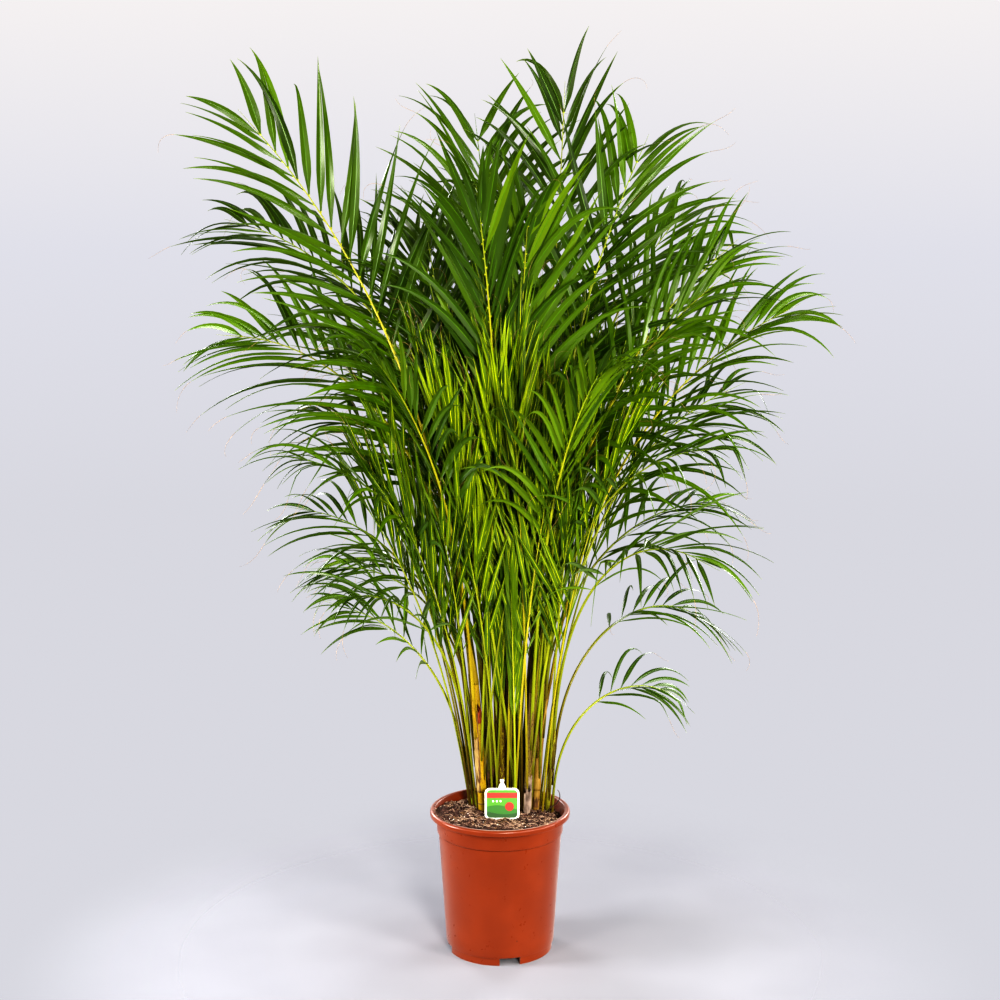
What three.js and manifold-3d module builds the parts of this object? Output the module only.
// Potted areca palm: a clump of slender canes in a plastic nursery pot, each cane carrying a few
// long feather-shaped fronds. Millimetres, +Z up, origin at the centre of the pot's underside,
// -Y is the front, azimuths in degrees turn from +X (right) towards +Y (back).
import * as THREE from 'three';
import Module from 'manifold-3d';

const wasm = await Module();
wasm.setup();

// pot
const potHeight = 277;
const rimRadius = 134;
const lipHeight = 11;
const collarRadius = 122;
const collarHeight = 34;
const bodyTopRadius = 117.5;
const bodyFootRadius = 103.5;
const wall = 2.6;
const footRingRadius = 100;
const footRingWidth = 6;
const footHeight = 16;
const padRadius = 38;
const notchWidth = 40;
const notchAzimuth = 11;
const drainRadius = 6;
const drainCircle = 66;
const drainCount = 8;
const turns = 40;

// soil
const soilTop = 268;
const soilDrop = 6;
const soilGap = 0.4;

// tag
const tagWidth = 66;
const tagHeight = 60;
const tagThickness = 2;
const tagPlace = [4, -46];
const tagTilt = 12;
const stickRadius = 2.4;
const headFoot = 58;

// fronds
const bendPower = 1.6;
const petioleShare = 0.42;
const shortPetioleGain = 0.3;
const petioleRadius = 3.6;
const rachisRadius = 2.3;
const tipRadius = 1.2;
const endLength = 60;
const leafPairs = 8;
const leafLength = 310;
const leafWidth = 24;
const leafAngleFoot = 52;
const leafAngleTip = 24;
const leafRise = 26;
const leafThickness = 0.006;
const leafShades = [0x3d7a08, 0x4b8a14, 0x2f6406, 0x568f1e, 0x37700c];
const bareSections = 4;
const caneSides = 8;
const clearance = 0.4;

// Each cane stands at foot [x, y] on the soil and leans by `lean` degrees towards azimuth `to`.
const canes = {
  golden: { foot: [-33, 10], to: 184, lean: 3, height: 255, radius: 8.5, color: 0xd9a413 },
  olive: { foot: [-14, 34], to: 150, lean: 3, height: 290, radius: 6.5, color: 0x7a7a1c },
  spotted: { foot: [4, 30], to: 250, lean: 1, height: 235, radius: 6.5, color: 0xa9a01c },
  dark: { foot: [20, 56], to: 75, lean: 3, height: 300, radius: 6, color: 0x6c5a1e },
  grey: { foot: [52, 8], to: 340, lean: 2, height: 240, radius: 6.5, color: 0x8a6a55 },
  tan: { foot: [70, 34], to: 10, lean: 3, height: 250, radius: 6.5, color: 0xb08a3e },
  leftShoot: { foot: [-50, 41], to: 190, lean: 4, height: 150, radius: 4.2, color: 0x93a31a },
  rightShoot: { foot: [92, 30], to: 0, lean: 3, height: 140, radius: 4.2, color: 0x8f9a1c },
  backLeft: { foot: [-38, 74], to: 130, lean: 5, height: 250, radius: 6, color: 0x8a8a20 },
  backMid: { foot: [8, 90], to: 95, lean: 5, height: 270, radius: 6.5, color: 0x9a7f2a },
  backRight: { foot: [56, 76], to: 50, lean: 5, height: 255, radius: 6, color: 0x86801f },
};

// Each frond leaves its cane (or the soil) `up` millimetres above the soil towards azimuth `to`;
// its angle from the vertical goes from `lean` at the foot to `bend` at the tip, and its blade
// is rolled about the midrib by `roll` degrees. A young frond's leaflets are still half closed:
// its `open` is the share of their full spread.
const fronds = [
  { name: 'golden_1', cane: 'golden', up: 255, to: 186, lean: 8, bend: 41, length: 1105, roll: -65 },
  { name: 'golden_2', cane: 'golden', up: 215, to: 156, lean: 4, bend: 88, length: 930, roll: -50 },
  { name: 'golden_3', cane: 'golden', up: 170, to: 236, lean: 5, bend: 50, length: 800, roll: -15, open: 0.75 },
  { name: 'olive_1', cane: 'olive', up: 290, to: 152, lean: 6, bend: 77, length: 1050, roll: -30 },
  { name: 'olive_2', cane: 'olive', up: 230, to: 166, lean: 5, bend: 10, length: 845, roll: -70 },
  { name: 'olive_3', cane: 'olive', up: 180, to: 124, lean: 7, bend: 62, length: 980, roll: -10 },
  { name: 'spotted_1', cane: 'spotted', up: 235, to: 262, lean: 2, bend: 40, length: 960, roll: 10, open: 0.9 },
  { name: 'spotted_2', cane: 'spotted', up: 190, to: 285, lean: 4, bend: 18, length: 740, roll: -10, open: 0.5 },
  { name: 'spotted_3', cane: 'spotted', up: 150, to: 215, lean: 4, bend: 22, length: 690, roll: 20, open: 0.5 },
  { name: 'dark_1', cane: 'dark', up: 300, to: 106, lean: 8, bend: 24, length: 1010, roll: 0 },
  { name: 'dark_2', cane: 'dark', up: 250, to: 56, lean: 12, bend: 4, length: 1090, roll: 10 },
  { name: 'dark_3', cane: 'dark', up: 200, to: 276, lean: 4, bend: 30, length: 950, roll: -15 },
  { name: 'dark_4', cane: 'dark', up: 160, to: 140, lean: 6, bend: 80, length: 930, roll: 10 },
  { name: 'grey_1', cane: 'grey', up: 240, to: 32, lean: 4, bend: 28, length: 1025, roll: 40 },
  { name: 'grey_2', cane: 'grey', up: 200, to: 338, lean: 4, bend: 50, length: 880, roll: 45 },
  { name: 'grey_3', cane: 'grey', up: 150, to: 290, lean: 5, bend: 52, length: 800, roll: 10, open: 0.75 },
  { name: 'grey_4', cane: 'grey', up: 100, to: 314, lean: 6, bend: 34, length: 690, roll: -20, open: 0.55 },
  { name: 'tan_1', cane: 'tan', up: 250, to: 15, lean: 6, bend: 50, length: 890, roll: 45 },
  { name: 'tan_2', cane: 'tan', up: 205, to: 359, lean: 9, bend: 62, length: 880, roll: 35 },
  { name: 'tan_3', cane: 'tan', up: 165, to: 311, lean: 4, bend: 83, length: 750, roll: 20 },
  { name: 'left_shoot_1', cane: 'leftShoot', up: 150, to: 214, lean: 5, bend: 74, length: 690, roll: -20 },
  { name: 'left_shoot_2', cane: 'leftShoot', up: 110, to: 160, lean: 5, bend: 84, length: 600, roll: -25 },
  { name: 'left_shoot_3', cane: 'leftShoot', up: 70, to: 226, lean: 6, bend: 88, length: 540, roll: -10 },
  { name: 'right_shoot_1', cane: 'rightShoot', up: 140, to: 26, lean: 5, bend: 70, length: 790, roll: 20 },
  { name: 'right_shoot_2', cane: 'rightShoot', up: 105, to: 307, lean: 4, bend: 102, length: 680, roll: 10 },
  { name: 'right_shoot_3', cane: 'rightShoot', up: 70, to: 26, lean: 4, bend: 124, length: 520, roll: 15 },
  { name: 'back_left_1', cane: 'backLeft', up: 250, to: 148, lean: 5, bend: 87, length: 670, roll: -20 },
  { name: 'back_left_2', cane: 'backLeft', up: 200, to: 112, lean: 7, bend: 84, length: 900, roll: 0 },
  { name: 'back_left_3', cane: 'backLeft', up: 160, to: 186, lean: 7, bend: 92, length: 440, roll: -20 },
  { name: 'back_left_4', cane: 'backLeft', up: 110, to: 132, lean: 8, bend: 112, length: 540, roll: 0 },
  { name: 'back_mid_1', cane: 'backMid', up: 270, to: 92, lean: 6, bend: 60, length: 1040, roll: 10 },
  { name: 'back_mid_2', cane: 'backMid', up: 220, to: 64, lean: 8, bend: 92, length: 900, roll: 0 },
  { name: 'back_mid_3', cane: 'backMid', up: 175, to: 100, lean: 9, bend: 104, length: 760, roll: 0 },
  { name: 'back_mid_4', cane: 'backMid', up: 120, to: 120, lean: 7, bend: 28, length: 960, roll: -20 },
  { name: 'back_right_1', cane: 'backRight', up: 255, to: 42, lean: 7, bend: 50, length: 960, roll: 30 },
  { name: 'back_right_2', cane: 'backRight', up: 205, to: 74, lean: 8, bend: 72, length: 900, roll: 0 },
  { name: 'back_right_3', cane: 'backRight', up: 150, to: 22, lean: 9, bend: 92, length: 600, roll: 15 },
  { name: 'low_left', foot: [-60, 70], to: 192, lean: 5, bend: 70, length: 480, roll: -25 },
  { name: 'low_right', foot: [101, 14], to: 14, lean: 2, bend: 112, length: 370, roll: 20 },
  { name: 'front', foot: [33, 22], to: 216, lean: 8, bend: 22, length: 800, roll: 15, open: 0.45 },
];

const degree = Math.PI / 180;
const up = new THREE.Vector3(0, 0, 1);

function direction(azimuth, fromVertical) {
  const flat = Math.sin(fromVertical * degree);
  return new THREE.Vector3(
    flat * Math.cos(azimuth * degree), flat * Math.sin(azimuth * degree), Math.cos(fromVertical * degree));
}

// meshes and solids
function geometryOf(points, faces) {
  const geometry = new THREE.BufferGeometry();
  geometry.setAttribute('position', new THREE.Float32BufferAttribute(points.flatMap((p) => p.toArray()), 3));
  geometry.setIndex(faces.flat());
  return geometry;
}

function solidOf(points, faces) {
  return new wasm.Manifold(new wasm.Mesh({
    numProp: 3,
    vertProperties: Float32Array.from(points.flatMap((p) => p.toArray())),
    triVerts: Uint32Array.from(faces.flat()),
  }));
}

function geometryFrom(solid) {
  const mesh = solid.getMesh();
  const points = [];
  for (let i = 0; i < mesh.vertProperties.length; i += mesh.numProp) {
    points.push(new THREE.Vector3().fromArray(mesh.vertProperties, i));
  }
  const faces = [];
  for (let i = 0; i < mesh.triVerts.length; i += 3) {
    faces.push([mesh.triVerts[i], mesh.triVerts[i + 1], mesh.triVerts[i + 2]]);
  }
  return geometryOf(points, faces);
}

// Joins rings of equal size into a closed skin; an apex point closes the far end when given.
function skin(rings, apex) {
  const size = rings[0].length;
  const points = rings.flat();
  const faces = [];
  for (let k = 1; k < size - 1; k += 1) faces.push([0, k + 1, k]);
  for (let i = 0; i < rings.length - 1; i += 1) {
    for (let k = 0; k < size; k += 1) {
      const next = (k + 1) % size;
      faces.push([i * size + k, i * size + next, (i + 1) * size + next]);
      faces.push([i * size + k, (i + 1) * size + next, (i + 1) * size + k]);
    }
  }
  const last = (rings.length - 1) * size;
  if (apex) {
    points.push(apex);
    for (let k = 0; k < size; k += 1) faces.push([last + k, last + (k + 1) % size, points.length - 1]);
  } else {
    for (let k = 1; k < size - 1; k += 1) faces.push([last, last + k, last + k + 1]);
  }
  return { points, faces };
}

// Turns a closed outline of [radius, height] about the Z axis.
function turned(outline) {
  const points = [];
  const faces = [];
  const rows = outline.map(([radius, height]) => {
    if (radius === 0) {
      points.push(new THREE.Vector3(0, 0, height));
      return Array(turns).fill(points.length - 1);
    }
    return Array.from({ length: turns }, (_, k) => {
      const angle = (k / turns) * 2 * Math.PI;
      points.push(new THREE.Vector3(radius * Math.cos(angle), radius * Math.sin(angle), height));
      return points.length - 1;
    });
  });
  for (let i = 0; i < rows.length - 1; i += 1) {
    for (let k = 0; k < turns; k += 1) {
      const next = (k + 1) % turns;
      const [a, b, c, d] = [rows[i][k], rows[i][next], rows[i + 1][next], rows[i + 1][k]];
      if (a !== b) faces.push([a, b, c]);
      if (c !== d) faces.push([a, c, d]);
    }
  }
  return solidOf(points, faces);
}

// A round post standing at x, y through rings of [radius, height].
function post(x, y, outline, sides = 12) {
  const { points, faces } = skin(outline.map(([radius, height]) => (
    Array.from({ length: sides }, (_, k) => {
      const angle = (k / sides) * 2 * Math.PI;
      return new THREE.Vector3(x + radius * Math.cos(angle), y + radius * Math.sin(angle), height);
    })
  )));
  return solidOf(points, faces);
}

function block(width, depth, low, high, centre, azimuth) {
  const along = direction(azimuth, 90);
  const across = direction(azimuth + 90, 90);
  const ring = (z) => [[1, 1], [-1, 1], [-1, -1], [1, -1]].map(([a, b]) => new THREE.Vector3(0, 0, z)
    .addScaledVector(along, centre + (a * depth) / 2).addScaledVector(across, (b * width) / 2));
  const { points, faces } = skin([ring(low), ring(high)]);
  return solidOf(points, faces);
}

// pot and soil
const innerFoot = bodyFootRadius - wall;
const innerTop = bodyTopRadius - wall;
const collarFoot = potHeight - collarHeight;

function makePot() {
  let pot = turned([
    [0, 0], [padRadius - 2, 0], [padRadius, footHeight], [footRingRadius - footRingWidth - 1, footHeight],
    [footRingRadius - footRingWidth, 0], [footRingRadius, 0], [footRingRadius + 0.5, footHeight],
    [bodyFootRadius, footHeight], [bodyTopRadius, collarFoot - 2], [collarRadius - 2, collarFoot],
    [collarRadius, potHeight - lipHeight], [rimRadius - 1, potHeight - lipHeight],
    [rimRadius, potHeight - lipHeight + 3], [rimRadius, potHeight - 4], [rimRadius - 3, potHeight],
    [collarRadius + 1, potHeight], [collarRadius - wall, potHeight - 3],
    [collarRadius - wall - 2, collarFoot + 1], [innerTop, collarFoot - 3], [innerFoot, footHeight + 3],
    [padRadius - 2, footHeight + 3], [padRadius - 4, 3], [0, 3],
  ]);
  for (let k = 0; k < 4; k += 1) {
    const notch = block(notchWidth, 16, -5, footHeight, footRingRadius - 3, notchAzimuth + 90 * k);
    pot = pot.subtract(notch);
  }
  for (let k = 0; k < drainCount; k += 1) {
    const angle = ((k + 0.5) / drainCount) * 2 * Math.PI;
    const [x, y] = [drainCircle * Math.cos(angle), drainCircle * Math.sin(angle)];
    pot = pot.subtract(post(x, y, [[drainRadius, footHeight - 4], [drainRadius, footHeight + 6]]));
  }
  return geometryFrom(pot);
}

function makeSoil() {
  const edge = collarRadius - wall - 1 - soilGap;
  return geometryFrom(turned([
    [0, 3 + soilGap], [padRadius - 4 - soilGap, 3 + soilGap],
    [padRadius - 2 - soilGap, footHeight + 3 + soilGap], [innerFoot - soilGap, footHeight + 3 + soilGap],
    [innerTop - soilGap, collarFoot - 3], [collarRadius - wall - 2 - soilGap, collarFoot + 1],
    [edge, soilTop - soilDrop], [edge - 10, soilTop], [0, soilTop],
  ]));
}

// tag: a label with round corners on a stick with a round head, leaning back
function plate(width, height, corner, low, front, back) {
  const rounded = [];
  for (const [a, b, start] of [[1, 1, 0], [-1, 1, 90], [-1, -1, 180], [1, -1, 270]]) {
    for (let k = 0; k <= 3; k += 1) {
      const turn = direction(start + 30 * k, 90);
      rounded.push([a * (width / 2 - corner) + corner * turn.x, b * (height / 2 - corner) + corner * turn.y]);
    }
  }
  const ring = (y) => rounded.map(([x, z]) => new THREE.Vector3(x, y, low + height / 2 + z));
  const { points, faces } = skin([ring(back), ring(front)]);
  return solidOf(points, faces);
}

function placeTag(solid) {
  return geometryFrom(solid).rotateX(-tagTilt * degree).translate(tagPlace[0], tagPlace[1], soilTop + 1.6);
}

function makeTag() {
  const behind = stickRadius - 1;
  const stick = post(0, behind, [
    [stickRadius, 0], [stickRadius, headFoot], [7, headFoot + 3], [6.4, headFoot + 6],
    [2.6, headFoot + 11], [4.2, headFoot + 13.5], [4.2, headFoot + 15.5], [2.2, headFoot + 18]], 10);
  return placeTag(plate(tagWidth, tagHeight, 10, 0, -tagThickness, 0).add(stick));
}

function makeTagFace() {
  const front = -tagThickness - 0.3;
  return placeTag(plate(tagWidth - 8, tagHeight - 8, 7, 4, front - 0.8, front));
}

// canes and fronds
const taken = [];

function touches(shape, owner, kind) {
  const box = new THREE.Box3().setFromPoints(shape.points);
  const near = taken.filter((other) => other.box.intersectsBox(box)
    && !(kind === 'leaflet' && other.owner === owner && other.kind === 'limb'));
  if (near.length === 0) return false;
  const solid = solidOf(shape.points, shape.faces);
  return near.some((other) => solid.intersect(other.solid).getMesh().triVerts.length > 0);
}

function take(shape, owner, kind) {
  const box = new THREE.Box3().setFromPoints(shape.points);
  taken.push({ owner, kind, box, solid: solidOf(shape.points, shape.faces) });
}

function caneAxis(cane, height) {
  const lean = direction(cane.to, cane.lean);
  return new THREE.Vector3(cane.foot[0], cane.foot[1], soilTop + 0.3).addScaledVector(lean, height / lean.z);
}

function caneRadius(cane, height) {
  return cane.radius * (1 - 0.3 * (height / cane.height));
}

// A cane tapers upwards and swells a little at each leaf scar; its foot is cut flat at the soil.
function makeCane(cane) {
  const rings = [[0, 1.1], [0.03, 1], [0.3, 1], [0.32, 1.1], [0.6, 1], [0.62, 1.1], [1, 0.95]];
  return skin(rings.map(([share, swell]) => {
    const centre = caneAxis(cane, share * cane.height);
    const radius = caneRadius(cane, share * cane.height) * swell;
    return Array.from({ length: caneSides }, (_, k) => centre.clone()
      .addScaledVector(direction((360 * k) / caneSides, 90), radius));
  }));
}

// A petiole stands beside its cane, or on top of it; `seat` moves it closer or further off.
function frondStart(frond, azimuth, seat) {
  const lift = 0.3 + petioleRadius * Math.sin(frond.lean * degree);
  if (!frond.cane) return new THREE.Vector3(frond.foot[0], frond.foot[1], soilTop + lift);
  const cane = canes[frond.cane];
  if (frond.up >= cane.height) return caneAxis(cane, cane.height).addScaledVector(up, lift);
  const offset = caneRadius(cane, frond.up) + petioleRadius + seat;
  return caneAxis(cane, frond.up).addScaledVector(direction(azimuth, 90), offset);
}

// Short fronds are bare for a larger share of their length.
function bareShare(frond) {
  return petioleShare + (shortPetioleGain * Math.max(0, 1100 - frond.length)) / 1000;
}

// Sections along a frond's midrib: the bare petiole, then one section at each leaflet's root.
function midrib(frond, azimuth, seat, extra) {
  const bare = bareShare(frond);
  const leaflets = 2 * Math.round(leafPairs * Math.min(1, 0.5 + frond.length / 1800));
  const steps = [0, 0.3, 0.6, 0.82].map((step) => step * bare);
  for (let i = 0; i <= leaflets; i += 1) steps.push(bare + (1 - bare) * (i / leaflets) ** 0.92);
  const flat = direction(azimuth + 90, 90);
  const lean = (share) => frond.lean + (frond.bend - frond.lean) * share ** bendPower;
  const place = frondStart(frond, azimuth, seat);
  const pieces = 6;
  return steps.map((step, i) => {
    for (let k = 0; i > 0 && k < pieces; k += 1) {
      const share = THREE.MathUtils.lerp(steps[i - 1], step, (k + 0.5) / pieces);
      place.addScaledVector(direction(azimuth, lean(share)), (frond.length * (step - steps[i - 1])) / pieces);
    }
    const along = direction(azimuth, lean(step));
    const roll = frond.roll * degree * Math.min(1, step / bare);
    const side = flat.clone().applyAxisAngle(along, roll);
    const face = new THREE.Vector3().crossVectors(along, side);
    const half = step < bare
      ? THREE.MathUtils.lerp(petioleRadius, rachisRadius, step / bare)
      : THREE.MathUtils.lerp(rachisRadius, tipRadius, (step - bare) / (1 - bare));
    const ring = [[1, 1], [-1, 1], [-1, -1], [1, -1]].map(([a, b]) => place.clone()
      .addScaledVector(side, a * (half + extra)).addScaledVector(face, b * (half + extra)));
    return {
      share: (step - bare) / (1 - bare), open: frond.open ?? 1, place: place.clone(), along, side, face, ring };
  });
}

function placeMidrib(frond) {
  for (const turn of [0, 3, -3, 6, -6, 10, -10, 14, -14, 19, -19, 25, -25]) {
    for (const seat of [-0.6, -0.35, -0.1, 0.15, 0.4, 0.65, 0.9]) {
      const shape = skin(midrib(frond, frond.to + turn, seat, clearance).map((section) => section.ring));
      if (!touches(shape, frond.name, 'limb')) {
        const sections = midrib(frond, frond.to + turn, seat, 0);
        take(skin(sections.map((section) => section.ring)), frond.name, 'limb');
        return sections;
      }
    }
  }
  return null;
}

function bladeRing(centre, across, thickness, halfWide, halfThick) {
  return [[-1, -1], [-1, 1], [1, 1], [1, -1]].map(([a, b]) => centre.clone()
    .addScaledVector(across, a * halfWide).addScaledVector(thickness, b * halfThick));
}

// A leaflet springs from between two midrib sections: its root, its widest ring and its tip.
function leaflet(near, far, hand, length, change, extra) {
  const spread = THREE.MathUtils.lerp(leafAngleFoot, leafAngleTip, near.share) * near.open;
  const angle = (spread + change.open * near.open) * degree;
  const rise = (leafRise + change.rise) * degree;
  const outward = near.side.clone().multiplyScalar(hand * Math.cos(rise))
    .addScaledVector(near.face, Math.sin(rise));
  const course = near.along.clone().multiplyScalar(Math.cos(angle)).addScaledVector(outward, Math.sin(angle));
  const across = near.along.clone().addScaledVector(course, -near.along.dot(course)).normalize();
  const thickness = new THREE.Vector3().crossVectors(across, course);
  const base = near.place.clone().add(far.place).multiplyScalar(0.5);
  const middle = base.clone().addScaledVector(course, length * 0.45).addScaledVector(up, -0.04 * length);
  const tip = base.clone().addScaledVector(course, length * 0.97 + extra * 3)
    .addScaledVector(up, -change.droop * length);
  const ring = bladeRing(middle, across, thickness, leafWidth / 2 + extra, length * leafThickness + extra);
  const root = hand > 0
    ? [near.ring[3], near.ring[0], far.ring[0], far.ring[3]]
    : [near.ring[1], near.ring[2], far.ring[2], far.ring[1]];
  return { hand, root, ring, tip };
}

// Ways a leaflet may turn aside for its neighbours, tried in this order.
const leafChanges = [
  { open: 0, rise: 0, droop: 0.16 },
  { open: 0, rise: 10, droop: 0.12 },
  { open: -6, rise: -8, droop: 0.2 },
  { open: 6, rise: 4, droop: 0.24 },
  { open: -10, rise: 15, droop: 0.08 },
  { open: 9, rise: -14, droop: 0.14 },
  { open: -12, rise: 2, droop: 0.28 },
  { open: 13, rise: 20, droop: 0.2 },
];

function placeLeaflet(frond, sections, i) {
  const hand = i % 2 ? 1 : -1;
  const { share } = sections[i];
  const scale = Math.min(1, frond.length / 950);
  const length = leafLength * scale * (0.8 + 0.8 * share - 1.05 * share * share);
  for (const shrink of [1, 0.8, 0.6]) {
    for (const change of leafChanges) {
      const wide = leaflet(sections[i], sections[i + 1], hand, length * shrink, change, clearance);
      if (!touches(skin([wide.root, wide.ring], wide.tip), frond.name, 'leaflet')) {
        const blade = leaflet(sections[i], sections[i + 1], hand, length * shrink, change, 0);
        take(skin([blade.root, blade.ring], blade.tip), frond.name, 'leaflet');
        return blade;
      }
    }
  }
  return null;
}

// One closed skin for a whole frond: the midrib's sides, pulled out into a blade at each leaflet.
function frondSkin(sections, blades) {
  const points = sections.flatMap((section) => section.ring);
  const faces = [[0, 2, 1], [0, 3, 2]];
  const last = (sections.length - 1) * 4;
  const end = sections[sections.length - 1];
  for (let i = 0; i < sections.length - 1; i += 1) {
    for (let k = 0; k < 4; k += 1) {
      const corner = [i * 4 + k, i * 4 + ((k + 1) % 4), (i + 1) * 4 + ((k + 1) % 4), (i + 1) * 4 + k];
      const blade = blades[i];
      if (blade && k === (blade.hand > 0 ? 3 : 1)) {
        addBlade(points, faces, corner, blade.ring, blade.tip);
      } else {
        faces.push([corner[0], corner[1], corner[2]], [corner[0], corner[2], corner[3]]);
      }
    }
  }
  points.push(end.place.clone().addScaledVector(end.along, endLength));
  for (let k = 0; k < 4; k += 1) faces.push([last + k, last + ((k + 1) % 4), points.length - 1]);
  return { points, faces };
}

function addBlade(points, faces, root, ring, tip) {
  const first = points.length;
  points.push(...ring, tip);
  for (let k = 0; k < 4; k += 1) {
    const next = (k + 1) % 4;
    faces.push([root[k], root[next], first + next], [root[k], first + next, first + k]);
    faces.push([first + k, first + next, first + 4]);
  }
}

// assembly
const group = new THREE.Group();
group.name = 'potted_areca_palm';

function addMesh(name, geometry, color, roughness = 0.6) {
  const mesh = new THREE.Mesh(geometry, new THREE.MeshStandardMaterial({ color, roughness }));
  mesh.name = name;
  group.add(mesh);
}

addMesh('pot', makePot(), 0xb9481f, 0.4);
addMesh('soil', makeSoil(), 0x3a2a1e, 0.95);
addMesh('tag', makeTag(), 0xf2f2ee);
addMesh('tag_face', makeTagFace(), 0x5fae2c);

for (const [name, cane] of Object.entries(canes)) {
  const shape = makeCane(cane);
  take(shape, name, 'limb');
  addMesh(`cane_${name}`, geometryOf(shape.points, shape.faces), cane.color);
}

const midribs = fronds.map((frond) => placeMidrib(frond));
fronds.forEach((frond, index) => {
  const sections = midribs[index];
  if (!sections) return;
  const blades = sections.map((section, i) => (
    i >= bareSections && i < sections.length - 1 ? placeLeaflet(frond, sections, i) : null));
  const shape = frondSkin(sections, blades);
  const shade = leafShades[index % leafShades.length];
  addMesh(`frond_${frond.name}`, geometryOf(shape.points, shape.faces), shade);
});

export default group;
